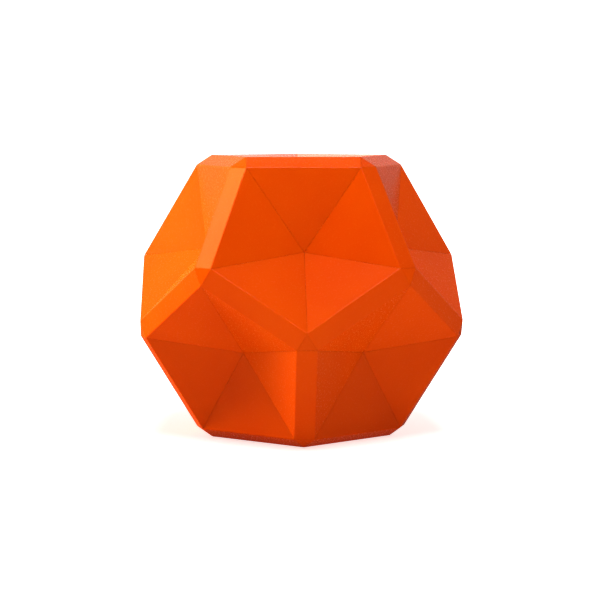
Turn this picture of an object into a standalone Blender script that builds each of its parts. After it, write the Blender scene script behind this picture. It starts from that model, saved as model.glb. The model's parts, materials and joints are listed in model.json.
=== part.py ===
"""Corner-turning dodecahedral puzzle with hollowed faces.

The solid is a dodecahedron with chamfered edges, cut-off corners and a five-sided hollow in each
face. Three pieces round a corner turn together about that corner's axis. The cuts between the
pieces follow the folds of the hollows, so each fold lies on a surface of revolution about the
corner axes beside it. Thirty edge pieces hook under the flanges of twenty corner pieces, whose
stems snap into sockets in a round core. Origin at the centre, +Z through the middle of one face.
"""

import math

import bmesh
import bpy
from mathutils import Matrix, Vector

MM = 0.001

# Outer shape
FACE_DISTANCE = 35.0 * MM  # centre to the plane of a face's rim
CHAMFER_INSET = 2.8 * MM  # how far a rim stands in from the sharp edge, in the face's plane
HOLLOW_DEPTH = 7.4 * MM  # rim plane to the bottom of the hollow

# Cuts between the pieces
GAP = 0.3 * MM
LAYER_SIDES = 24
LAYER_TOP = 46.0 * MM
LAYER_TOP_RADIUS = 32.0 * MM
FOLD_SAMPLES = (1.1, 0.7, 0.35, 0.0)  # places along a fold, from past the rim to the bottom

# Hooks under the edge pieces, as half-widths along and across the edge
NECK_SIZE = (1.0 * MM, 2.6 * MM)
NECK_BOTTOM = 17.0 * MM
NECK_TOP = 26.0 * MM
FOOT_BOTTOM_SIZE = (2.1 * MM, 2.5 * MM)
FOOT_TOP_SIZE = (2.8 * MM, 3.0 * MM)
FOOT_BOTTOM = 14.7 * MM
FOOT_TOP = 18.9 * MM

# Core, with a socket in every arm
CORE_RADIUS = 13.9 * MM
CORE_SUBDIVISIONS = 2
ARM_RADIUS = 2.7 * MM
ARM_ROOT = 12.0 * MM
ARM_TOP = 18.8 * MM
SOCKET_MOUTH_RADIUS = 1.5 * MM
SOCKET_RADIUS = 2.05 * MM
SOCKET_LEDGE = 16.9 * MM
SOCKET_BOTTOM = 14.3 * MM

# Corner pieces: a three-sided head, a flange over the hooks, and a snap end in the core's socket
HEAD_RADIUS = 4.2 * MM
HEAD_BOTTOM = 29.4 * MM
STEM_RADIUS = 1.9 * MM
STEM_TOP = 31.0 * MM
FLANGE_RADIUS = 5.1 * MM
FLANGE_BOTTOM = 19.1 * MM
FLANGE_SHOULDER = 21.4 * MM
FLANGE_TOP = 24.4 * MM
PIN_RADIUS = 1.2 * MM
SNAP_RADIUS = 1.75 * MM
SNAP_TOP = 16.5 * MM
SNAP_WAIST = 15.7 * MM
SNAP_BOTTOM = 14.6 * MM
SNAP_TIP_RADIUS = 1.0 * MM

ROUND_SIDES = 8
SMALL_SIDES = 6
MERGE = 0.001 * MM
FLAT_ANGLE = math.radians(1.0)  # faces of the hull that turn by less than this are one flat
SLIVER_ANGLE = math.radians(0.3)

FACE_TILT = math.atan(2.0)  # angle between the axes of neighbouring faces
FACE_STEP = math.radians(72.0)  # from one face to the next round +Z
LOWER_FACE_START = math.radians(-54.0)
PENTAGON_HALF_STEP = math.radians(36.0)
ORANGE = ((0.85, 0.16, 0.01, 1.0), 0.25, 0.0)
BLACK = ((0.02, 0.02, 0.022, 1.0), 0.45, 0.0)


def spherical(tilt, azimuth):
    """Unit vector at an angle from +Z and an azimuth from +X, both in radians."""
    return Vector((
        math.sin(tilt) * math.cos(azimuth),
        math.sin(tilt) * math.sin(azimuth),
        math.cos(tilt),
    ))


def face_axes():
    """The twelve face axes by name: top, u0 to u4 round the upper half, l0 to l4, bottom."""
    axes = {"top": Vector((0, 0, 1)), "bottom": Vector((0, 0, -1))}
    for index in range(5):
        step = FACE_STEP * index
        axes[f"u{index}"] = spherical(FACE_TILT, step - math.pi / 2)
        axes[f"l{index}"] = spherical(math.pi - FACE_TILT, step + LOWER_FACE_START)
    return axes


def corner_faces():
    """Each corner's three faces, by the corner's name."""
    corners = {}
    for k in range(5):
        n = (k + 1) % 5
        corners[f"top_{k}"] = ("top", f"u{k}", f"u{n}")
        corners[f"upper_{k}"] = (f"u{k}", f"u{n}", f"l{k}")
        corners[f"lower_{k}"] = (f"u{n}", f"l{k}", f"l{n}")
        corners[f"bottom_{k}"] = (f"l{k}", f"l{n}", "bottom")
    return corners


def edge_faces():
    """Each edge's two faces, by the edge's name."""
    edges = {}
    for k in range(5):
        n = (k + 1) % 5
        edges[f"edge_top_{k}"] = ("top", f"u{k}")
        edges[f"edge_upper_{k}"] = (f"u{k}", f"u{n}")
        edges[f"edge_belt_{2 * k}"] = (f"u{k}", f"l{k}")
        edges[f"edge_belt_{2 * k + 1}"] = (f"l{k}", f"u{n}")
        edges[f"edge_lower_{k}"] = (f"l{k}", f"l{n}")
        edges[f"edge_bottom_{k}"] = (f"l{k}", "bottom")
    return edges


FACES = face_axes()
CORNERS = corner_faces()
EDGES = edge_faces()


def middle(names):
    """The direction midway between the named faces."""
    total = Vector((0, 0, 0))
    for name in names:
        total += FACES[name]
    return total.normalized()


CORNER_AXES = {name: middle(faces) for name, faces in CORNERS.items()}
EDGE_AXES = {name: middle(faces) for name, faces in EDGES.items()}


def nearest_corners(axis, count, skip=0):
    """Names of the corners nearest to an axis, after leaving out the first few."""
    ranked = sorted(CORNER_AXES, key=lambda name: -CORNER_AXES[name].dot(axis))
    return ranked[skip:skip + count]


def frame_matrix(axis, towards):
    """A rotation that takes +Z to the axis and +X to the side nearest another direction."""
    across = (towards - axis * towards.dot(axis)).normalized()
    return Matrix((across, axis.cross(across), axis)).transposed().to_4x4()


def corner_frame(name):
    """The frame of a corner: +Z out through it, +X towards a neighbouring corner."""
    axis = CORNER_AXES[name]
    neighbour = nearest_corners(axis, 1, skip=1)[0]
    return frame_matrix(axis, CORNER_AXES[neighbour])


def edge_frame(name):
    """The frame of an edge: +Z out through its middle, +X along it."""
    axis = EDGE_AXES[name]
    return frame_matrix(axis, CORNER_AXES[nearest_corners(axis, 1)[0]])


# A face's rim is a regular pentagon, its sides parallel to the sharp edges it stands in from
RIM_APOTHEM = FACE_DISTANCE * math.tan(0.5 * FACE_TILT) - CHAMFER_INSET
RIM_RADIUS = RIM_APOTHEM / math.cos(PENTAGON_HALF_STEP)


def rim_corner(face, corner):
    """The point of a face's rim that lies towards a corner of the dodecahedron."""
    normal = FACES[face]
    axis = CORNER_AXES[corner]
    outward = (axis - normal * axis.dot(normal)).normalized()
    return normal * FACE_DISTANCE + outward * RIM_RADIUS


def new_object(name, mesh, collection):
    """Wrap a mesh in an object and link it."""
    item = bpy.data.objects.new(name, mesh)
    collection.objects.link(item)
    return item


def mesh_from(bm, name):
    """Finish a bmesh as a mesh."""
    mesh = bpy.data.meshes.new(name)
    bm.to_mesh(mesh)
    bm.free()
    return mesh


def evaluated_mesh(item):
    """The mesh that an object's modifiers or curve settings give."""
    bpy.context.view_layer.update()
    graph = bpy.context.evaluated_depsgraph_get()
    return bpy.data.meshes.new_from_object(item.evaluated_get(graph))


def boolean(target, cutter, operation):
    """Add a Boolean modifier."""
    modifier = target.modifiers.new(operation.lower(), "BOOLEAN")
    modifier.operation = operation
    modifier.object = cutter


def outer_mesh():
    """The whole outside: a hull of the rims' corners, with a hollow poked into each rim."""
    bm = bmesh.new()
    for corner, faces in CORNERS.items():
        for face in faces:
            bm.verts.new(rim_corner(face, corner))
    bmesh.ops.convex_hull(bm, input=bm.verts)
    bmesh.ops.dissolve_limit(
        bm, angle_limit=FLAT_ANGLE, verts=bm.verts, edges=bm.edges
    )
    rims = [face for face in bm.faces if len(face.verts) == 5]
    bmesh.ops.poke(bm, faces=rims, offset=-HOLLOW_DEPTH, center_mode="MEAN")
    bmesh.ops.recalc_face_normals(bm, faces=bm.faces)
    return mesh_from(bm, "outside")


def fold_profile():
    """The folds beside a corner's layer, as radius and height about the corner's axis."""
    corner = "top_0"
    axis = CORNER_AXES[corner]
    face = CORNERS[corner][0]
    neighbour = next(
        name for name in nearest_corners(axis, 3, skip=1) if face in CORNERS[name]
    )
    bottom = FACES[face] * (FACE_DISTANCE - HOLLOW_DEPTH)
    rim = rim_corner(face, neighbour)
    profile = []
    for sample in FOLD_SAMPLES:
        point = bottom + (rim - bottom) * sample
        height = point.dot(axis)
        profile.append((math.sqrt(point.length_squared - height * height), height))
    return profile


def layer_profile():
    """The section of one corner's turning layer: a bell with a flat floor at the folds' ends."""
    fold = fold_profile()
    floor = fold[-1][1]
    return [(0.0, LAYER_TOP), (LAYER_TOP_RADIUS, LAYER_TOP), *fold, (0.0, floor)]


def offset_profile(profile, distance):
    """Move a section's outline outwards by a distance, keeping its ends on the axis."""
    points = [Vector(point) for point in profile]
    normals = []
    for start, end in zip(points, points[1:]):
        along = (end - start).normalized()
        normals.append(Vector((-along.y, along.x)))
    moved = []
    for index, point in enumerate(points):
        before = normals[max(index - 1, 0)]
        after = normals[min(index, len(normals) - 1)]
        bisector = before + after
        shift = bisector * (2.0 * distance / bisector.length_squared)
        moved.append(point + shift)
    moved[0] = Vector((0.0, points[0].y + distance))
    moved[-1] = Vector((0.0, points[-1].y - distance))
    return [(point.x, point.y) for point in moved]


def turned(name, profile, sides, collection):
    """A solid turned about +Z from a section given top to bottom, its flats facing +X."""
    mesh = bpy.data.meshes.new(name)
    count = len(profile)
    links = [(index, index + 1) for index in range(count - 1)]
    mesh.from_pydata([(radius, 0.0, height) for radius, height in profile], links, [])
    item = new_object(name, mesh, collection)
    screw = item.modifiers.new("turn", "SCREW")
    screw.axis = "Z"
    screw.angle = math.tau
    screw.steps = sides
    screw.render_steps = sides
    screw.use_merge_vertices = True
    screw.merge_threshold = MERGE
    screw.use_normal_calculate = True
    return item


def turned_mesh(name, profile, sides, collection):
    """The finished mesh of a turned solid, its first flat facing +X."""
    item = turned(name, profile, sides, collection)
    mesh = evaluated_mesh(item)
    bpy.data.objects.remove(item)
    bm = bmesh.new()
    bm.from_mesh(mesh)
    bmesh.ops.rotate(bm, verts=bm.verts, matrix=Matrix.Rotation(math.pi / sides, 3, "Z"))
    bmesh.ops.remove_doubles(bm, verts=bm.verts, dist=MERGE)
    bmesh.ops.recalc_face_normals(bm, faces=bm.faces)
    bm.to_mesh(mesh)
    bm.free()
    return mesh


def layer_cutters(collection):
    """Every corner's layer solid twice: a slim one that keeps pieces, a full one that cuts."""
    section = layer_profile()
    slim_mesh = turned_mesh("slim", offset_profile(section, -GAP / 2), LAYER_SIDES, collection)
    full_mesh = turned_mesh("full", offset_profile(section, GAP / 2), LAYER_SIDES, collection)
    slim, full = {}, {}
    for name in CORNERS:
        slim[name] = new_object(f"slim_{name}", slim_mesh, collection)
        full[name] = new_object(f"full_{name}", full_mesh, collection)
        slim[name].matrix_world = corner_frame(name)
        full[name].matrix_world = corner_frame(name)
    return slim, full


def block_mesh(name, bottom_size, top_size, bottom, top):
    """A four-sided block round +Z whose half-widths change from its bottom to its top."""
    bm = bmesh.new()
    bmesh.ops.create_cube(bm, size=2.0)
    for vert in bm.verts:
        high = vert.co.z > 0.0
        half_x, half_y = top_size if high else bottom_size
        vert.co = Vector((vert.co.x * half_x, vert.co.y * half_y, top if high else bottom))
    return mesh_from(bm, name)


def edge_mesh(outside, slim, full, collection):
    """One edge piece: a tent that two neighbouring layers share, with a hooked foot below it."""
    name = "edge_top_0"
    axis = EDGE_AXES[name]
    blank = new_object("edge_blank", outside.copy(), collection)
    for corner in nearest_corners(axis, 2):
        boolean(blank, slim[corner], "INTERSECT")
    for corner in nearest_corners(axis, 4, skip=2):
        boolean(blank, full[corner], "DIFFERENCE")
    blocks = (
        block_mesh("neck", NECK_SIZE, NECK_SIZE, NECK_BOTTOM, NECK_TOP),
        block_mesh("foot", FOOT_BOTTOM_SIZE, FOOT_TOP_SIZE, FOOT_BOTTOM, FOOT_TOP),
    )
    for block in blocks:
        item = new_object(block.name, block, collection)
        item.matrix_world = edge_frame(name)
        boolean(blank, item, "UNION")
    mesh = evaluated_mesh(blank)
    mesh.transform(edge_frame(name).inverted())
    return tidy(mesh)


def corner_mesh(outside, full, collection):
    """One corner piece: a head between the layers round it, a stem, a flange and a snap end."""
    name = "top_0"
    frame = corner_frame(name)
    head = turned_mesh(
        "head",
        [(0.0, LAYER_TOP), (HEAD_RADIUS, LAYER_TOP), (HEAD_RADIUS, HEAD_BOTTOM),
         (0.0, HEAD_BOTTOM)],
        SMALL_SIDES, collection,
    )
    stem = turned_mesh(
        "stem",
        [
            (0.0, STEM_TOP), (STEM_RADIUS, STEM_TOP), (STEM_RADIUS, FLANGE_TOP),
            (FLANGE_RADIUS, FLANGE_SHOULDER), (FLANGE_RADIUS, FLANGE_BOTTOM),
            (PIN_RADIUS, FLANGE_BOTTOM), (PIN_RADIUS, SNAP_TOP), (SNAP_RADIUS, SNAP_TOP),
            (SNAP_RADIUS, SNAP_WAIST), (SNAP_TIP_RADIUS, SNAP_BOTTOM), (0.0, SNAP_BOTTOM),
        ],
        ROUND_SIDES, collection,
    )
    blank = new_object("corner_blank", head, collection)
    blank.matrix_world = frame
    body = new_object("corner_body", outside.copy(), collection)
    boolean(body, blank, "INTERSECT")
    for corner in nearest_corners(CORNER_AXES[name], 3, skip=1):
        boolean(body, full[corner], "DIFFERENCE")
    stem_item = new_object("corner_stem", stem, collection)
    stem_item.matrix_world = frame
    boolean(body, stem_item, "UNION")
    mesh = evaluated_mesh(body)
    mesh.transform(frame.inverted())
    return tidy(mesh)


def tidy(mesh):
    """Join points that a cut left almost together, and split faces into triangles."""
    bm = bmesh.new()
    bm.from_mesh(mesh)
    bmesh.ops.remove_doubles(bm, verts=bm.verts, dist=MERGE)
    bmesh.ops.dissolve_limit(
        bm, angle_limit=SLIVER_ANGLE, verts=bm.verts, edges=bm.edges
    )
    bmesh.ops.triangulate(bm, faces=bm.faces)
    bmesh.ops.dissolve_degenerate(bm, edges=bm.edges, dist=MERGE)
    bm.to_mesh(mesh)
    bm.free()
    return mesh


def group_mesh(name, mesh, corners):
    """Copies of one mesh at several corners, as one cutter's mesh."""
    bm = bmesh.new()
    for corner in corners:
        copy = mesh.copy()
        copy.transform(corner_frame(corner))
        bm.from_mesh(copy)
        bpy.data.meshes.remove(copy)
    return mesh_from(bm, name)


def core_mesh(collection):
    """The core: a ball with an arm and a stepped socket under every corner."""
    bm = bmesh.new()
    bmesh.ops.create_icosphere(bm, subdivisions=CORE_SUBDIVISIONS, radius=CORE_RADIUS)
    core = new_object("core_blank", mesh_from(bm, "ball"), collection)
    arm = turned_mesh(
        "arm",
        [(0.0, ARM_TOP), (ARM_RADIUS, ARM_TOP), (ARM_RADIUS, ARM_ROOT), (0.0, ARM_ROOT)],
        ROUND_SIDES, collection,
    )
    socket = turned_mesh(
        "socket",
        [(0.0, FLANGE_BOTTOM), (SOCKET_MOUTH_RADIUS, FLANGE_BOTTOM),
         (SOCKET_MOUTH_RADIUS, SOCKET_LEDGE), (SOCKET_RADIUS, SOCKET_LEDGE),
         (SOCKET_RADIUS, SOCKET_BOTTOM), (0.0, SOCKET_BOTTOM)],
        ROUND_SIDES, collection,
    )
    arms = new_object("arms", group_mesh("arms", arm, CORNERS), collection)
    sockets = new_object("sockets", group_mesh("sockets", socket, CORNERS), collection)
    boolean(core, arms, "UNION")
    boolean(core, sockets, "DIFFERENCE")
    return tidy(evaluated_mesh(core))


def material(name, look):
    """A Principled material from a colour, a roughness and a metallic value."""
    colour, roughness, metallic = look
    made = bpy.data.materials.new(name)
    made.use_nodes = True
    shader = made.node_tree.nodes["Principled BSDF"]
    shader.inputs["Base Color"].default_value = colour
    shader.inputs["Roughness"].default_value = roughness
    shader.inputs["Metallic"].default_value = metallic
    made.diffuse_color = colour
    return made


def build():
    """Make every piece and put it in the puzzle's collection."""
    for item in list(bpy.data.objects):
        bpy.data.objects.remove(item, do_unlink=True)
    parts = bpy.data.collections.new("corner_turning_puzzle")
    cutters = bpy.data.collections.new("cutters")
    for collection in (parts, cutters):
        bpy.context.scene.collection.children.link(collection)

    outside = outer_mesh()
    slim, full = layer_cutters(cutters)
    edge = edge_mesh(outside, slim, full, cutters)
    corner = corner_mesh(outside, full, cutters)
    core = core_mesh(cutters)
    for item in list(cutters.objects):
        bpy.data.objects.remove(item, do_unlink=True)

    orange = material("orange_plastic", ORANGE)
    black = material("black_plastic", BLACK)
    for mesh, look in ((edge, orange), (corner, orange), (core, black)):
        mesh.materials.clear()
        mesh.materials.append(look)

    new_object("core", core, parts)
    for name in EDGES:
        new_object(name, edge, parts).matrix_world = edge_frame(name)
    for name in CORNERS:
        new_object(f"corner_{name}", corner, parts).matrix_world = corner_frame(name)


build()
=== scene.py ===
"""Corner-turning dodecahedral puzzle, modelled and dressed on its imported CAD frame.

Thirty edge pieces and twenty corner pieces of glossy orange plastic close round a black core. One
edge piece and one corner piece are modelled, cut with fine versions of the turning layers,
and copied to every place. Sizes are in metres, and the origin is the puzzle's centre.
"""

import json
import logging
import math
from collections.abc import Callable, Iterable, Sequence
from dataclasses import dataclass, field
from enum import Enum

import bmesh
import bpy
from mathutils import Matrix, Vector

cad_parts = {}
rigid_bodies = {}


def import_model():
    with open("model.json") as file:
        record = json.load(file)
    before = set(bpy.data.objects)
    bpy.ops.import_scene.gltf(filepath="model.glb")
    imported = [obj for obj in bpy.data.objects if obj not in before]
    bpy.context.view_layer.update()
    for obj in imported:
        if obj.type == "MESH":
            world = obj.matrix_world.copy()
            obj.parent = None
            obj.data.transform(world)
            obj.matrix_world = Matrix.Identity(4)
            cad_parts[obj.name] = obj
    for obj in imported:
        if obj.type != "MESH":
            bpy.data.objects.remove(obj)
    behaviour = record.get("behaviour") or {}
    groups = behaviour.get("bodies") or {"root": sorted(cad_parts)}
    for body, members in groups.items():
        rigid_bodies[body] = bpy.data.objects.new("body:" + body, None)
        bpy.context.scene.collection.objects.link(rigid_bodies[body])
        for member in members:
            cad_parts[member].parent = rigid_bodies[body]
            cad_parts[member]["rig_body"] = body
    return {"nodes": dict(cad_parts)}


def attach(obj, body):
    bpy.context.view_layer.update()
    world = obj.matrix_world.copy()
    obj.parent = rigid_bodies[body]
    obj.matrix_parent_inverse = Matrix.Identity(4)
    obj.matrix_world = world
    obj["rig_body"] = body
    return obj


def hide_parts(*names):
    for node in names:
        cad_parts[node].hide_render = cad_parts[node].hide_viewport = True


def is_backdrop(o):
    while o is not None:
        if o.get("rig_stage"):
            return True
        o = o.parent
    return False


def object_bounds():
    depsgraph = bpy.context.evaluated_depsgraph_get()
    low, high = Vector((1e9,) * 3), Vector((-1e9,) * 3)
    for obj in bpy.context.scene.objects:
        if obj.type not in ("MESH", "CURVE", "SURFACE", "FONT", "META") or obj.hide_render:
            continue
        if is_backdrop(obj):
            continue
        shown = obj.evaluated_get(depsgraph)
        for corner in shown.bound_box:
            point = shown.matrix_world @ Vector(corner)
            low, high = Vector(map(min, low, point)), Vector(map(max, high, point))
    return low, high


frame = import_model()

logging.basicConfig(level=logging.INFO, format="%(message)s")
log = logging.getLogger("puzzle")

MM = 0.001
SLICE_TOLERANCE = 1e-8  # points nearer than this to a cutting plane lie on it
SLICE_MERGE = 0.01 * MM  # points that meeting slices leave this close are one
SLICE_FLAT = 1.0  # faces of the sliced block that turn by less, in degrees, are one
PIECE_MERGE = 1e-7
PIECE_FLAT = 0.2  # faces of a finished piece that turn by less, in degrees, are one
SAME_DIRECTION = 0.9999  # dot product of two unit vectors that point the same way
PENTAGON_STEP = 72.0  # degrees from one corner of a five-sided face to the next
LOWER_TURN = 54.0  # degrees by which the lower ring of faces is turned back
Profile = Sequence[tuple[float, float]]  # radius and height of each ring


class Slot(Enum):
    """The record's material slots."""

    SHELL = "shell_plastic"
    CORNER = "corner_plastic"
    CORE = "core_plastic"


class Cut(Enum):
    """What a cutter does to a blank."""

    KEEP_COMMON = "INTERSECT"
    TAKE_AWAY = "DIFFERENCE"
    ADD = "UNION"


# ---------------------------------------------------------------------------------------------
# Work on one object at a time, as by hand
# ---------------------------------------------------------------------------------------------


def only(item: bpy.types.Object) -> None:
    """Select one object alone and make it active.

    Args:
        item: the object to work on.
    """
    bpy.ops.object.select_all(action="DESELECT")
    item.select_set(True)
    bpy.context.view_layer.objects.active = item


def begin(name: str, add: Callable[..., set[str]], **settings: object) -> bpy.types.Object:
    """Add a primitive with nothing else selected, and give its mesh its place.

    Args:
        name: the new object's name.
        add: the primitive's operator.
        settings: the operator's settings.

    Returns:
        The new object, at the origin.
    """
    bpy.ops.object.select_all(action="DESELECT")
    add(**settings)
    item = bpy.context.active_object
    item.name = name
    bpy.ops.object.transform_apply(location=True, rotation=True, scale=True)
    return item


def edit(item: bpy.types.Object) -> None:
    """Open an object in edit mode with all of it selected."""
    only(item)
    bpy.ops.object.mode_set(mode="EDIT")
    bpy.ops.mesh.select_all(action="SELECT")


def close() -> None:
    """Leave edit mode."""
    bpy.ops.object.mode_set(mode="OBJECT")


def pick(
    item: bpy.types.Object,
    faces: Callable[[bmesh.types.BMFace], bool] | None = None,
    edges: Callable[[bmesh.types.BMEdge], bool] | None = None,
) -> int:
    """Select faces or edges of the object in edit mode by a test, and nothing else.

    Args:
        item: the object in edit mode.
        faces: the test that a face passes.
        edges: the test that an edge passes.

    Returns:
        How many were selected.
    """
    bpy.ops.mesh.select_mode(type="FACE" if faces else "EDGE")
    bpy.ops.mesh.select_all(action="DESELECT")
    work = bmesh.from_edit_mesh(item.data)
    work.normal_update()
    parts, test = (work.faces, faces) if faces else (work.edges, edges)
    chosen = [part for part in parts if test(part)]
    for part in chosen:
        part.select_set(True)
    bmesh.update_edit_mesh(item.data)
    return len(chosen)


def slice_off(point: Vector, normal: Vector) -> None:
    """Cut the mesh in edit mode with a plane, drop what is outside it and close the cut."""
    bpy.ops.mesh.select_all(action="SELECT")
    bpy.ops.mesh.bisect(
        plane_co=point, plane_no=normal, use_fill=True, clear_outer=True,
        threshold=SLICE_TOLERANCE,
    )


def sharp(angle: float) -> Callable[[bmesh.types.BMEdge], bool]:
    """A test for outward edges whose faces turn by more than an angle in degrees."""
    limit = math.radians(angle)
    return lambda edge: edge.is_manifold and edge.is_convex and edge.calc_face_angle() > limit


def round_edges(item: bpy.types.Object, radius: float, segments: int, angle: float) -> None:
    """Round an object's outward edges.

    Args:
        item: the object.
        radius: how far the rounding reaches from each edge.
        segments: steps across the rounding.
        angle: edges that turn by less than this, in degrees, stay.
    """
    edit(item)
    pick(item, edges=sharp(angle))
    bpy.ops.mesh.bevel(
        offset_type="OFFSET", offset=radius, segments=segments, profile=0.5,
        affect="EDGES", clamp_overlap=True,
    )
    close()


def combine(blank: bpy.types.Object, tool: bpy.types.Object, cut: Cut) -> None:
    """Cut or join a blank with another object.

    Args:
        blank: the object that changes.
        tool: the object it is cut or joined with.
        cut: what the tool does.
    """
    only(blank)
    bpy.ops.object.modifier_add(type="BOOLEAN")
    modifier = blank.modifiers[-1]
    modifier.operation = cut.value
    modifier.solver = "EXACT"
    modifier.object = tool
    bpy.ops.object.modifier_apply(modifier=modifier.name)


def turn_profile(name: str, profile: Profile, sides: int) -> bpy.types.Object:
    """A turned solid, drawn up from a disc by extruding and resizing ring after ring.

    Args:
        name: the object's name.
        profile: radius and height of each ring, from the lowest to the highest.
        sides: sides round the solid.

    Returns:
        The closed solid about +Z.
    """
    radius, height = profile[0]
    item = begin(
        name, bpy.ops.mesh.primitive_circle_add,
        vertices=sides, radius=radius, fill_type="NGON", location=(0.0, 0.0, height),
    )
    edit(item)
    for next_radius, next_height in profile[1:]:
        bpy.ops.mesh.extrude_region_move(
            TRANSFORM_OT_translate={"value": (0.0, 0.0, next_height - height)}
        )
        scale = next_radius / radius
        bpy.ops.transform.resize(
            value=(scale, scale, 1.0), center_override=(0.0, 0.0, next_height)
        )
        radius, height = next_radius, next_height
    bpy.ops.mesh.select_all(action="SELECT")
    bpy.ops.mesh.normals_make_consistent(inside=False)
    close()
    return item


def smooth_finish(item: bpy.types.Object, angle: float = 32.0) -> None:
    """Join doubled points, shade curves smooth and keep the flats flat.

    Args:
        item: the finished piece.
        angle: edges that turn by more than this, in degrees, stay sharp.
    """
    edit(item)
    bpy.ops.mesh.remove_doubles(threshold=PIECE_MERGE)
    bpy.ops.mesh.dissolve_limited(angle_limit=math.radians(PIECE_FLAT))
    bpy.ops.mesh.select_all(action="SELECT")
    bpy.ops.mesh.normals_make_consistent(inside=False)
    close()
    bpy.ops.object.shade_smooth_by_angle(angle=math.radians(angle), keep_sharp_edges=True)
    bpy.ops.object.modifier_add(type="WEIGHTED_NORMAL")
    modifier = item.modifiers[-1]
    modifier.mode = "FACE_AREA"
    modifier.weight = 90
    modifier.keep_sharp = True
    bpy.ops.object.modifier_apply(modifier=modifier.name)


def place_copy(
    model: bpy.types.Object, name: str, place: Matrix, node: str
) -> bpy.types.Object:
    """Copy a model to a place as its own mesh, and let it stand for a CAD node.

    Args:
        model: the piece modelled once.
        name: the copy's name.
        place: rotation from the model's frame to the puzzle's.
        node: the CAD node that the copy replaces, whose body it rides.

    Returns:
        The copy, at the origin, with its place in its mesh.
    """
    piece = bpy.data.objects.new(name, model.data.copy())
    bpy.context.scene.collection.objects.link(piece)
    piece.data.name = name
    piece.data.transform(place)
    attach(piece, frame["nodes"][node]["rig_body"])
    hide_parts(node)
    return piece


def discard(items: Iterable[bpy.types.Object]) -> None:
    """Remove blanks and cutters with their meshes."""
    for item in items:
        bpy.data.meshes.remove(item.data)


# ---------------------------------------------------------------------------------------------
# Finishes
# ---------------------------------------------------------------------------------------------


def linear(code: str) -> tuple[float, float, float, float]:
    """Turn a six-digit sRGB hex colour into linear RGBA.

    Args:
        code: the colour, such as "#E8590C".

    Returns:
        Red, green, blue and an alpha of one.
    """
    channels = [int(code.lstrip("#")[place:place + 2], 16) / 255.0 for place in (0, 2, 4)]
    parts = [
        value / 12.92 if value <= 0.04045 else ((value + 0.055) / 1.055) ** 2.4
        for value in channels
    ]
    return (parts[0], parts[1], parts[2], 1.0)


class NodeSheet:
    """A material's or the world's nodes, cleared and ready for new ones."""

    def __init__(self, owner: bpy.types.Material | bpy.types.World) -> None:
        """Clear the owner's node tree."""
        owner.use_nodes = True
        self.tree = owner.node_tree
        self.tree.nodes.clear()

    def add(self, kind: str, links: dict | None = None, **settings: object) -> bpy.types.Node:
        """Add one node with its settings, values and links.

        Args:
            kind: the node's type name.
            links: for each input, by name or number, a value or the socket that feeds it.
            settings: the node's own properties.

        Returns:
            The new node.
        """
        node = self.tree.nodes.new(kind)
        for key, value in settings.items():
            setattr(node, key, value)
        for socket, source in (links or {}).items():
            if isinstance(source, bpy.types.NodeSocket):
                self.tree.links.new(source, node.inputs[socket])
            else:
                node.inputs[socket].default_value = source
        return node


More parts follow.
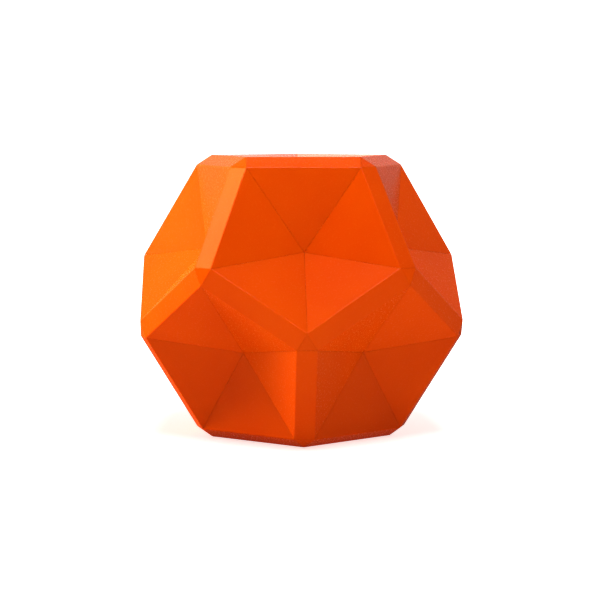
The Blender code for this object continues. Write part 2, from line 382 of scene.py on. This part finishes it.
@dataclass(frozen=True)
class MouldedPlastic:
    """ABS as it comes from a polished mould.

    The skin is glossy and slightly translucent, so that light bleeds red through thin edges. The
    mould leaves a soft waviness a few millimetres long, the pigment lies in faint clouds, and a
    fine grain breaks up the highlights. A real grain is about 0.1 mm, too fine to show from half
    a metre, so it is drawn a few times coarser.
    """

    name: str
    colour: str
    deep_colour: str
    roughness: float
    grain: float  # size of the fine grain
    grain_height: float
    wave: float  # length of the mould's waviness
    wave_height: float
    bleed: float  # how far red light travels inside
    bleed_share: float
    mirror: float  # how strongly the skin reflects straight on, against the usual half
    bleed_colour: tuple[float, float, float] = (1.0, 0.22, 0.06)
    ior: float = 1.5
    clouds: float = 4.0  # size of the pigment's clouds, in waves
    cloud_spread: tuple[float, float] = (0.35, 0.65)  # noise values from one tint to the other
    grain_spread: tuple[float, float] = (0.3, 0.7)
    gloss_spread: tuple[float, float] = (0.8, 1.25)  # least and most roughness, as shares

    def material(self) -> bpy.types.Material:
        """The finish as a material.

        Returns:
            A material that reads Object coordinates.
        """
        made = bpy.data.materials.new(self.name)
        sheet = NodeSheet(made)
        place = sheet.add("ShaderNodeTexCoord").outputs["Object"]
        clouds = sheet.add(
            "ShaderNodeTexNoise",
            {"Vector": place, "Scale": 1.0 / (self.clouds * self.wave), "Detail": 3.0},
        )
        grain = sheet.add(
            "ShaderNodeTexNoise",
            {"Vector": place, "Scale": 1.0 / self.grain, "Detail": 2.0, "Roughness": 0.6},
        )
        wave = sheet.add(
            "ShaderNodeTexNoise", {"Vector": place, "Scale": 1.0 / self.wave, "Detail": 1.0}
        )
        tint = sheet.add(
            "ShaderNodeMapRange",
            {"Value": clouds.outputs["Fac"], "From Min": self.cloud_spread[0],
             "From Max": self.cloud_spread[1], "To Min": 0.0, "To Max": 1.0},
        )
        colour = sheet.add(
            "ShaderNodeMix",
            {"Factor": tint.outputs["Result"], 6: linear(self.colour),
             7: linear(self.deep_colour)},
            data_type="RGBA",
        )
        gloss = sheet.add(
            "ShaderNodeMapRange",
            {"Value": grain.outputs["Fac"], "From Min": self.grain_spread[0],
             "From Max": self.grain_spread[1], "To Min": self.gloss_spread[0] * self.roughness,
             "To Max": self.gloss_spread[1] * self.roughness},
        )
        waves = sheet.add(
            "ShaderNodeBump",
            {"Height": wave.outputs["Fac"], "Distance": self.wave_height, "Strength": 1.0},
        )
        grains = sheet.add(
            "ShaderNodeBump",
            {"Height": grain.outputs["Fac"], "Distance": self.grain_height, "Strength": 1.0,
             "Normal": waves.outputs["Normal"]},
        )
        shader = sheet.add(
            "ShaderNodeBsdfPrincipled",
            {"Base Color": colour.outputs[2], "Roughness": gloss.outputs["Result"],
             "Normal": grains.outputs["Normal"], "IOR": self.ior,
             "Subsurface Weight": self.bleed_share, "Subsurface Scale": self.bleed,
             "Subsurface Radius": self.bleed_colour, "Specular IOR Level": self.mirror},
        )
        sheet.add("ShaderNodeOutputMaterial", {"Surface": shader.outputs["BSDF"]})
        made.diffuse_color = linear(self.colour)
        return made


@dataclass(frozen=True)
class PaintedGlowFloor:
    """Matt white acrylic with a painted glow: emission that is dim near the puzzle, a painted shade round
    it, and bright further out.
    """

    name: str = "white_acrylic_painted_glow"
    colour: str = "#F2F1EF"
    roughness: float = 0.9
    mirror: float = 0.2
    tooth: float = 1.5 * MM
    tooth_height: float = 0.02 * MM
    tooth_strength: float = 0.3
    # Painted glow: the emission rises from near_glow at dark_radius to far_glow at lit_radius, so a
    # painted shade lies round the puzzle.
    dark_radius: float = 0.03
    lit_radius: float = 0.26
    near_glow: float = 0.32
    far_glow: float = 0.95
    seen_glow: float = 0.36  # more of it to look at, so that the floor stays white beside the puzzle

    def material(self) -> bpy.types.Material:
        """The floor's material."""
        made = bpy.data.materials.new(self.name)
        sheet = NodeSheet(made)
        place = sheet.add("ShaderNodeTexCoord").outputs["Object"]
        tooth = sheet.add(
            "ShaderNodeTexNoise", {"Vector": place, "Scale": 1.0 / self.tooth, "Detail": 2.0}
        )
        bump = sheet.add(
            "ShaderNodeBump",
            {"Height": tooth.outputs["Fac"], "Distance": self.tooth_height,
             "Strength": self.tooth_strength},
        )
        reach = sheet.add("ShaderNodeVectorMath", {0: place}, operation="LENGTH")
        # Painted glow by distance from the floor's centre, dim under and round the puzzle as painted
        # shade.
        glow = sheet.add(
            "ShaderNodeMapRange",
            {"Value": reach.outputs["Value"], "From Min": self.dark_radius,
             "From Max": self.lit_radius, "To Min": self.near_glow,
             "To Max": self.far_glow},
            interpolation_type="SMOOTHSTEP",
        )
        ray = sheet.add("ShaderNodeLightPath")
        seen = sheet.add(
            "ShaderNodeMath",
            {0: ray.outputs["Is Camera Ray"], 1: self.seen_glow, 2: glow.outputs["Result"]},
            operation="MULTIPLY_ADD",
        )
        shader = sheet.add(
            "ShaderNodeBsdfPrincipled",
            {"Base Color": linear(self.colour), "Roughness": self.roughness,
             "Specular IOR Level": self.mirror, "Normal": bump.outputs["Normal"],
             "Emission Color": linear(self.colour), "Emission Strength": seen.outputs["Value"]},
        )
        sheet.add("ShaderNodeOutputMaterial", {"Surface": shader.outputs["BSDF"]})
        return made


# Injection-moulded ABS with a deep orange pigment: flat facets of one strong colour, a satin shine
# that pales them only at a shallow angle, and grainy highlights along the bands.
ORANGE_ABS = MouldedPlastic(
    name="orange_moulded_gloss_abs", colour="#D44E00", deep_colour="#CD4700", roughness=0.24,
    grain=0.45 * MM, grain_height=0.012 * MM, wave=8.0 * MM, wave_height=0.09 * MM,
    bleed=1.5 * MM, bleed_share=0.1, mirror=0.08,
)
# The same plastic in black, duller, from a plain mould: it reads as a dark hollow behind the
# orange while a layer is turned.
BLACK_ABS = MouldedPlastic(
    name="black_moulded_satin_abs", colour="#1A1A1C", deep_colour="#141416", roughness=0.45,
    grain=0.4 * MM, grain_height=0.01 * MM, wave=5.0 * MM, wave_height=0.03 * MM,
    bleed=0.5 * MM, bleed_share=0.0, mirror=0.5,
)


# ---------------------------------------------------------------------------------------------
# The puzzle's shape
# ---------------------------------------------------------------------------------------------


def spherical(tilt: float, azimuth: float) -> Vector:
    """Unit vector at an angle from +Z and an azimuth from +X, both in radians."""
    return Vector((
        math.sin(tilt) * math.cos(azimuth),
        math.sin(tilt) * math.sin(azimuth),
        math.cos(tilt),
    ))


def facing(axis: Vector, towards: Vector) -> Matrix:
    """A rotation that takes +Z to an axis and +X to the side nearest another direction."""
    across = (towards - axis * towards.dot(axis)).normalized()
    return Matrix((across, axis.cross(across), axis)).transposed().to_4x4()


@dataclass
class HollowedDodecahedron:
    """The outside: a dodecahedron with chamfered edges, cut corners and a pit in each face."""

    block_share: float = 4.0  # side of the block it is sliced from, against face_distance
    face_distance: float = 35.0 * MM  # centre to the plane of a face's rim
    chamfer_inset: float = 2.8 * MM  # how far a rim stands in from the sharp edge
    hollow_depth: float = 7.4 * MM  # rim plane to the bottom of a pit
    edge_round: float = 0.22 * MM  # every outer edge is eased, so that it catches a thin light
    edge_steps: int = 3
    edge_angle: float = 5.0
    faces: dict[str, Vector] = field(default_factory=dict)
    corners: dict[str, tuple[str, str, str]] = field(default_factory=dict)
    edges: dict[str, tuple[str, str]] = field(default_factory=dict)

    def __post_init__(self) -> None:
        """Name the faces, corners and edges, as the CAD names them."""
        tilt = math.atan(2.0)
        self.faces = {"top": Vector((0, 0, 1)), "bottom": Vector((0, 0, -1))}
        for k in range(5):
            step = math.radians(PENTAGON_STEP * k)
            self.faces[f"u{k}"] = spherical(tilt, step - math.pi / 2)
            self.faces[f"l{k}"] = spherical(math.pi - tilt, step - math.radians(LOWER_TURN))
        for k in range(5):
            n = (k + 1) % 5
            self.corners[f"top_{k}"] = ("top", f"u{k}", f"u{n}")
            self.corners[f"upper_{k}"] = (f"u{k}", f"u{n}", f"l{k}")
            self.corners[f"lower_{k}"] = (f"u{n}", f"l{k}", f"l{n}")
            self.corners[f"bottom_{k}"] = (f"l{k}", f"l{n}", "bottom")
            self.edges[f"top_{k}"] = ("top", f"u{k}")
            self.edges[f"upper_{k}"] = (f"u{k}", f"u{n}")
            self.edges[f"belt_{2 * k}"] = (f"u{k}", f"l{k}")
            self.edges[f"belt_{2 * k + 1}"] = (f"l{k}", f"u{n}")
            self.edges[f"lower_{k}"] = (f"l{k}", f"l{n}")
            self.edges[f"bottom_{k}"] = (f"l{k}", "bottom")

    def middle(self, names: Iterable[str]) -> Vector:
        """The direction midway between the named faces."""
        return sum((self.faces[name] for name in names), Vector((0, 0, 0))).normalized()

    def corner_axis(self, name: str) -> Vector:
        """The direction of a corner."""
        return self.middle(self.corners[name])

    def edge_axis(self, name: str) -> Vector:
        """The direction of an edge's middle."""
        return self.middle(self.edges[name])

    def near_corners(self, axis: Vector, first: int, last: int) -> list[str]:
        """Corners ranked by nearness to an axis, from the first place up to the last."""
        ranked = sorted(self.corners, key=lambda name: -self.corner_axis(name).dot(axis))
        return ranked[first:last]

    def corner_place(self, name: str) -> Matrix:
        """The frame of a corner: +Z out through it, +X towards a neighbouring corner."""
        axis = self.corner_axis(name)
        return facing(axis, self.corner_axis(self.near_corners(axis, 1, 2)[0]))

    def edge_place(self, name: str) -> Matrix:
        """The frame of an edge: +Z out through its middle, +X along it."""
        axis = self.edge_axis(name)
        return facing(axis, self.corner_axis(self.near_corners(axis, 0, 1)[0]))

    def rim_corner(self, face: str, corner: str) -> Vector:
        """The point of a face's rim that lies towards a corner."""
        normal, axis = self.faces[face], self.corner_axis(corner)
        apothem = self.face_distance * math.tan(0.5 * math.atan(2.0)) - self.chamfer_inset
        outward = (axis - normal * axis.dot(normal)).normalized()
        return normal * self.face_distance + outward * apothem / math.cos(math.radians(PENTAGON_STEP / 2))

    def fold(self, samples: int, past: float) -> list[tuple[float, float]]:
        """The folds beside a corner's layer, as radius and height about that corner's axis.

        Args:
            samples: points along a fold.
            past: how far past the rim it goes on, as a share of its length.

        Returns:
            Radius and height of each point, from the pit's bottom outwards.
        """
        corner = "top_0"
        axis, face = self.corner_axis(corner), self.corners[corner][0]
        neighbour = next(
            name for name in self.near_corners(axis, 1, 4) if face in self.corners[name]
        )
        bottom = self.faces[face] * (self.face_distance - self.hollow_depth)
        along = self.rim_corner(face, neighbour) - bottom
        points = [bottom + along * (1.0 + past) * n / (samples - 1) for n in range(samples)]
        heights = [point.dot(axis) for point in points]
        return [
            (math.sqrt(point.length_squared - height * height), height)
            for point, height in zip(points, heights)
        ]

    def body(self) -> bpy.types.Object:
        """The whole outside as one solid.

        Returns:
            A block sliced to every face, chamfer and corner, with a pit poked into each face.
        """
        item = begin(
            "outside", bpy.ops.mesh.primitive_cube_add,
            size=self.block_share * self.face_distance,
        )
        edit(item)
        for axis in self.faces.values():
            slice_off(axis * self.face_distance, axis)
        for name, (face, _) in self.edges.items():
            axis = self.edge_axis(name)
            corner = self.near_corners(axis, 0, 1)[0]
            slice_off(axis * self.rim_corner(face, corner).dot(axis), axis)
        for name, (face, _, _) in self.corners.items():
            axis = self.corner_axis(name)
            slice_off(axis * self.rim_corner(face, name).dot(axis), axis)
        bpy.ops.mesh.select_all(action="SELECT")
        bpy.ops.mesh.remove_doubles(threshold=SLICE_MERGE)
        bpy.ops.mesh.dissolve_limited(angle_limit=math.radians(SLICE_FLAT))
        axes = list(self.faces.values())
        count = pick(
            item, faces=lambda face: max(face.normal.dot(a) for a in axes) > SAME_DIRECTION
        )
        bpy.ops.mesh.poke(
            offset=-self.hollow_depth, use_relative_offset=False, center_mode="MEDIAN"
        )
        close()
        log.info("outside: %d pits, %d faces", count, len(item.data.polygons))
        round_edges(item, self.edge_round, self.edge_steps, self.edge_angle)
        return item


@dataclass
class TurningLayer:
    """The bell-shaped space in which one corner's three edge pieces turn."""

    shape: HollowedDodecahedron
    sides: int = 144
    fold_samples: int = 22
    past_rim: float = 0.1
    top: float = 46.0 * MM  # clear of the outside, as is the radius there
    top_radius: float = 32.0 * MM
    half_gap: float = 0.015 * MM  # from a fold to the piece on either side of it

    def profile(self, shift: float) -> list[tuple[float, float]]:
        """The bell's section, moved outwards, from its floor to its top.

        Args:
            shift: how far each surface moves outwards.

        Returns:
            Radius and height of each ring.
        """
        fold = self.shape.fold(self.fold_samples, self.past_rim)
        points = [Vector(point) for point in [*fold, (self.top_radius, self.top)]]
        moved = [Vector((points[0].x + shift, points[0].y - shift))]
        for before, here, after in zip(points, points[1:], points[2:]):
            along = (after - before).normalized()
            moved.append(here + Vector((along.y, -along.x)) * shift)
        moved.append(Vector((self.top_radius + shift, self.top + shift)))
        return [(point.x, point.y) for point in moved]

    def bell(self, shift: float) -> bpy.types.Object:
        """The layer's solid about +Z."""
        return turn_profile("bell", self.profile(shift), self.sides)

    def cutter(self, corner: str, inside: Matrix, shift: float) -> bpy.types.Object:
        """The layer of a corner, placed in the frame that a piece is modelled in.

        Args:
            corner: whose layer it is.
            inside: the frame that the piece is modelled in.
            shift: how far the layer's surface moves outwards.

        Returns:
            The cutter.
        """
        item = self.bell(shift)
        item.data.transform(inside.inverted() @ self.shape.corner_place(corner))
        return item


# ---------------------------------------------------------------------------------------------
# The pieces
# ---------------------------------------------------------------------------------------------


@dataclass
class EdgePieces:
    """Thirty tents over the edges: a chamfer band, two pit facets, a neck and a hooked foot."""

    shape: HollowedDodecahedron
    layer: TurningLayer
    finish: MouldedPlastic
    neck_half: tuple[float, float] = (1.0 * MM, 2.6 * MM)
    neck_span: tuple[float, float] = (17.0 * MM, 26.0 * MM)
    foot_low_half: tuple[float, float] = (2.1 * MM, 2.5 * MM)
    foot_high_half: tuple[float, float] = (2.8 * MM, 3.0 * MM)
    foot_span: tuple[float, float] = (14.7 * MM, 18.9 * MM)
    hook_round: float = 0.3 * MM

    def block(
        self, name: str, low: tuple[float, float], high: tuple[float, float],
        span: tuple[float, float],
    ) -> bpy.types.Object:
        """A rounded block whose top and bottom have their own half-widths.

        Args:
            name: the block's name.
            low: half-widths of the bottom along and across the edge.
            high: half-widths of the top.
            span: heights of the bottom and the top.

        Returns:
            The block.
        """
        item = begin(
            name, bpy.ops.mesh.primitive_cube_add, size=2.0,
            location=(0.0, 0.0, sum(span) / 2),
            scale=(low[0], low[1], (span[1] - span[0]) / 2),
        )
        edit(item)
        pick(item, faces=lambda face: face.normal.z > 0.9)
        bpy.ops.transform.resize(
            value=(high[0] / low[0], high[1] / low[1], 1.0),
            center_override=(0.0, 0.0, span[1]),
        )
        close()
        round_edges(item, self.hook_round, 3, 20.0)
        return item

    def model(self, outside: bpy.types.Object) -> bpy.types.Object:
        """One edge piece in its own frame.

        Args:
            outside: the whole outside, which is left as it is.

        Returns:
            The piece, with +Z out and +X along the edge.
        """
        name = "top_0"
        place = self.shape.edge_place(name)
        axis = self.shape.edge_axis(name)
        piece = bpy.data.objects.new("edge_model", outside.data.copy())
        bpy.context.scene.collection.objects.link(piece)
        piece.data.transform(place.inverted())
        tools = []
        # Common to the layers of the edge's two corners, and clear of the next four.
        for corner in self.shape.near_corners(axis, 0, 2):
            tools.append(self.layer.cutter(corner, place, -self.layer.half_gap))
            combine(piece, tools[-1], Cut.KEEP_COMMON)
        for corner in self.shape.near_corners(axis, 2, 6):
            tools.append(self.layer.cutter(corner, place, self.layer.half_gap))
            combine(piece, tools[-1], Cut.TAKE_AWAY)
        tools.append(self.block("neck", self.neck_half, self.neck_half, self.neck_span))
        tools.append(
            self.block("foot", self.foot_low_half, self.foot_high_half, self.foot_span)
        )
        combine(tools[-2], tools[-1], Cut.ADD)
        combine(piece, tools[-2], Cut.ADD)
        discard(tools)
        smooth_finish(piece)
        return piece

    def build(self, outside: bpy.types.Object) -> list[bpy.types.Object]:
        """Model one edge piece and place all thirty.

        Args:
            outside: the whole outside.

        Returns:
            The pieces.
        """
        model = self.model(outside)
        model.data.materials.clear()
        model.data.materials.append(self.finish.material())
        pieces = [
            place_copy(
                model, f"orange_edge_{name}", self.shape.edge_place(name), f"edge_{name}",
            )
            for name in self.shape.edges
        ]
        discard([model])
        return pieces


@dataclass
class CornerPieces:
    """Twenty corner pieces: a three-sided head, a stem, a flange and a snap end."""

    shape: HollowedDodecahedron
    layer: TurningLayer
    finish: MouldedPlastic
    sides: int = 48
    head_radius: float = 4.2 * MM
    head_bottom: float = 29.4 * MM
    head_top: float = 46.0 * MM
    stem_round: float = 0.12 * MM
    stem: Profile = (
        (1.0 * MM, 14.6 * MM), (1.75 * MM, 15.7 * MM), (1.75 * MM, 16.5 * MM),
        (1.2 * MM, 16.5 * MM), (1.2 * MM, 19.1 * MM), (5.1 * MM, 19.1 * MM),
        (5.1 * MM, 21.4 * MM), (1.9 * MM, 24.4 * MM), (1.9 * MM, 31.0 * MM),
    )

    def model(self, outside: bpy.types.Object) -> bpy.types.Object:
        """One corner piece in its own frame.

        Args:
            outside: the whole outside, which is left as it is.

        Returns:
            The piece, with +Z out through the corner.
        """
        name = "top_0"
        place = self.shape.corner_place(name)
        axis = self.shape.corner_axis(name)
        piece = bpy.data.objects.new("corner_model", outside.data.copy())
        bpy.context.scene.collection.objects.link(piece)
        piece.data.transform(place.inverted())
        head = turn_profile(
            "head",
            ((self.head_radius, self.head_bottom), (self.head_radius, self.head_top)),
            self.sides,
        )
        combine(piece, head, Cut.KEEP_COMMON)
        tools = [head]
        # Clear of the layers of its three neighbours.
        for corner in self.shape.near_corners(axis, 1, 4):
            tools.append(self.layer.cutter(corner, place, self.layer.half_gap))
            combine(piece, tools[-1], Cut.TAKE_AWAY)
        stem = turn_profile("stem", self.stem, self.sides)
        round_edges(stem, self.stem_round, 2, 30.0)
        tools.append(stem)
        combine(piece, stem, Cut.ADD)
        discard(tools)
        smooth_finish(piece)
        return piece

    def build(self, outside: bpy.types.Object) -> list[bpy.types.Object]:
        """Model one corner piece and place all twenty.

        Args:
            outside: the whole outside.

        Returns:
            The pieces.
        """
        model = self.model(outside)
        model.data.materials.clear()
        model.data.materials.append(self.finish.material())
        pieces = [
            place_copy(
                model, f"orange_corner_{name}", self.shape.corner_place(name),
                f"corner_{name}",
            )
            for name in self.shape.corners
        ]
        discard([model])
        return pieces


@dataclass
class Core:
    """The ball in the middle, with an arm and a stepped socket under every corner."""

    shape: HollowedDodecahedron
    finish: MouldedPlastic
    radius: float = 13.9 * MM
    sides: int = 32
    arm_radius: float = 2.7 * MM
    arm_span: tuple[float, float] = (12.0 * MM, 18.8 * MM)
    arm_round: float = 0.25 * MM
    socket: Profile = (
        (2.05 * MM, 14.3 * MM), (2.05 * MM, 16.9 * MM), (1.5 * MM, 16.9 * MM),
        (1.5 * MM, 19.4 * MM),
    )

    def round_the_ball(self, model: bpy.types.Object, name: str) -> bpy.types.Object:
        """Copies of a turned solid under every corner, joined into one object.

        Args:
            model: the solid about +Z, which goes into the result.
            name: the result's name.

        Returns:
            The joined copies.
        """
        copies = []
        for corner in self.shape.corners:
            item = bpy.data.objects.new(name, model.data.copy())
            bpy.context.scene.collection.objects.link(item)
            item.data.transform(self.shape.corner_place(corner))
            copies.append(item)
        discard([model])
        only(copies[0])
        for item in copies:
            item.select_set(True)
        bpy.ops.object.join()
        return copies[0]

    def build(self) -> list[bpy.types.Object]:
        """Model the core and let it stand for the CAD core.

        Returns:
            The core, alone in a list.
        """
        ball = begin(
            "core_model", bpy.ops.mesh.primitive_ico_sphere_add,
            subdivisions=5, radius=self.radius,
        )
        arm = turn_profile(
            "arm", [(self.arm_radius, height) for height in self.arm_span], self.sides
        )
        round_edges(arm, self.arm_round, 3, 40.0)
        arms = self.round_the_ball(arm, "arms")
        combine(ball, arms, Cut.ADD)
        sockets = self.round_the_ball(turn_profile("socket", self.socket, self.sides), "sockets")
        combine(ball, sockets, Cut.TAKE_AWAY)
        discard([arms, sockets])
        smooth_finish(ball, 40.0)
        ball.data.materials.clear()
        ball.data.materials.append(self.finish.material())
        core = place_copy(ball, "black_core", Matrix.Identity(4), "core")
        discard([ball])
        return [core]


# ---------------------------------------------------------------------------------------------
# The studio
# ---------------------------------------------------------------------------------------------


@dataclass(frozen=True)
class Softbox:
    """A soft panel light that points at the puzzle."""

    name: str
    direction: tuple[float, float, float]  # from the puzzle to the light
    distance: float
    size: tuple[float, float]
    power: float
    colour: str = "#FFFFFF"
    polarised: bool = False  # crossed filters take its image out of the gloss
    lights_floor: bool = True  # or flagged off it, so that it throws no shadow there

    def place(self, puzzle: bpy.types.Collection) -> bpy.types.Object:
        """Add the light.

        Args:
            puzzle: the pieces, which a light flagged off the floor still reaches.

        Returns:
            The light's object.
        """
        data = bpy.data.lights.new(self.name, "AREA")
        data.shape = "RECTANGLE"
        data.size, data.size_y = self.size
        data.energy = self.power
        data.color = linear(self.colour)[:3]
        item = bpy.data.objects.new(self.name, data)
        bpy.context.scene.collection.objects.link(item)
        away = Vector(self.direction).normalized()
        item.location = away * self.distance
        item.rotation_mode = "QUATERNION"
        item.rotation_quaternion = (-away).to_track_quat("-Z", "Y")
        item.visible_camera = False
        item.visible_glossy = not self.polarised
        if not self.lights_floor:
            item.light_linking.receiver_collection = puzzle
        return item


@dataclass
class Studio:
    """Pale floor, white surroundings, soft panels and the camera."""

    floor_height: float
    floor_size: float = 8.0
    camera_distance: float = 452.6 * MM
    camera_elevation: float = 5.5
    camera_turn: float = -2.31
    lens: float = 107.6
    shift: float = -0.0099
    front_level: float = 0.1
    back_level: float = 0.42
    depth_span: tuple[float, float] = (-0.6, 0.9)
    low_share: float = 0.25  # of that, below the horizon, where only the gloss sees the room
    horizon_span: tuple[float, float] = (-0.06, 0.0)
    panels: tuple[Softbox, ...] = (
        Softbox(
            "key_panel", (-0.82, 0.38, 0.32), 1.0, (0.4, 0.4), 26.0,
            polarised=True, lights_floor=False,
        ),
        Softbox(
            "highlight_panel", (-0.71, 0.0, 0.70), 1.0, (0.20, 0.20), 3.3, colour="#FFE39C",
            lights_floor=False,
        ),
        Softbox("top_panel", (0.0, -0.40, 0.92), 1.0, (0.4, 0.4), 7.6),
        Softbox("back_panel", (0.0, 0.74, 0.67), 1.2, (0.44, 0.44), 3.4, lights_floor=False),
    )

    def floor(self) -> bpy.types.Object:
        """The floor under the puzzle."""
        item = begin(
            "floor", bpy.ops.mesh.primitive_plane_add,
            size=self.floor_size, location=(0.0, 0.0, self.floor_height),
        )
        # The floor's material glows by painted emission, with a painted shade round the puzzle.
        item.data.materials.append(PaintedGlowFloor().material())
        item.visible_glossy = False  # the gloss mirrors the room alone, so low faces stay deep
        item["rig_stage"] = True
        return item

    def surroundings(self) -> None:
        """White to look at, softer as a light: brightest behind, dim in front and below."""
        world = bpy.data.worlds.new("white_room")
        bpy.context.scene.world = world
        sheet = NodeSheet(world)
        towards = sheet.add("ShaderNodeTexCoord").outputs["Generated"]
        parts = sheet.add("ShaderNodeSeparateXYZ", {"Vector": towards})
        depth = sheet.add(
            "ShaderNodeMapRange",
            {"Value": parts.outputs["Y"], "From Min": self.depth_span[0],
             "From Max": self.depth_span[1],
             "To Min": self.front_level, "To Max": self.back_level},
        )
        height = sheet.add(
            "ShaderNodeMapRange",
            {"Value": parts.outputs["Z"], "From Min": self.horizon_span[0],
             "From Max": self.horizon_span[1],
             "To Min": self.low_share, "To Max": 1.0},
        )
        light_level = sheet.add(
            "ShaderNodeMath",
            {0: depth.outputs["Result"], 1: height.outputs["Result"]}, operation="MULTIPLY",
        )
        ray = sheet.add("ShaderNodeLightPath")
        level = sheet.add(
            "ShaderNodeMix",
            {"Factor": ray.outputs["Is Camera Ray"], "A": light_level.outputs["Value"],
             "B": 1.0},
        )
        light = sheet.add(
            "ShaderNodeBackground",
            {"Color": linear("#FFFFFF"), "Strength": level.outputs["Result"]},
        )
        sheet.add("ShaderNodeOutputWorld", {"Surface": light.outputs["Background"]})

    def camera(self) -> bpy.types.Object:
        """The camera, a little above the middle and aimed at the centre."""
        data = bpy.data.cameras.new("camera")
        data.lens = self.lens
        data.sensor_width = 36.0
        data.shift_y = self.shift
        item = bpy.data.objects.new("camera", data)
        bpy.context.scene.collection.objects.link(item)
        away = spherical(
            math.radians(90.0 - self.camera_elevation),
            math.radians(-90.0 + self.camera_turn),
        )
        item.location = away * self.camera_distance
        item.rotation_mode = "QUATERNION"
        item.rotation_quaternion = (-away).to_track_quat("-Z", "Y")
        bpy.context.scene.camera = item
        return item

    def build(self, pieces: Iterable[bpy.types.Object]) -> None:
        """Set up the whole studio.

        Args:
            pieces: the puzzle's pieces.
        """
        self.floor()
        self.surroundings()
        puzzle = bpy.data.collections.new("puzzle_pieces")
        for piece in pieces:
            puzzle.objects.link(piece)
        for panel in self.panels:
            panel.place(puzzle)
        self.camera()
        bpy.context.scene.view_settings.view_transform = "Standard"
        bpy.context.scene.view_settings.look = "Medium High Contrast"


def main() -> None:
    """Build the puzzle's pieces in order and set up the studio."""
    cad_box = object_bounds()
    shape = HollowedDodecahedron()
    layer = TurningLayer(shape)
    outside = shape.body()
    made = {
        "edge pieces": EdgePieces(shape, layer, ORANGE_ABS).build(outside),
        "corner pieces": CornerPieces(shape, layer, ORANGE_ABS).build(outside),
        "core": Core(shape, BLACK_ABS).build(),
    }
    discard([outside])
    for kind, pieces in made.items():
        faces = sum(len(piece.data.polygons) for piece in pieces)
        log.info("%s: %d, with %d faces", kind, len(pieces), faces)
        for piece in pieces:
            log.info("  %s: %d faces", piece.name, len(piece.data.polygons))
    Studio(floor_height=cad_box[0].z).build(
        piece for pieces in made.values() for piece in pieces
    )


if __name__ == "__main__":
    main()
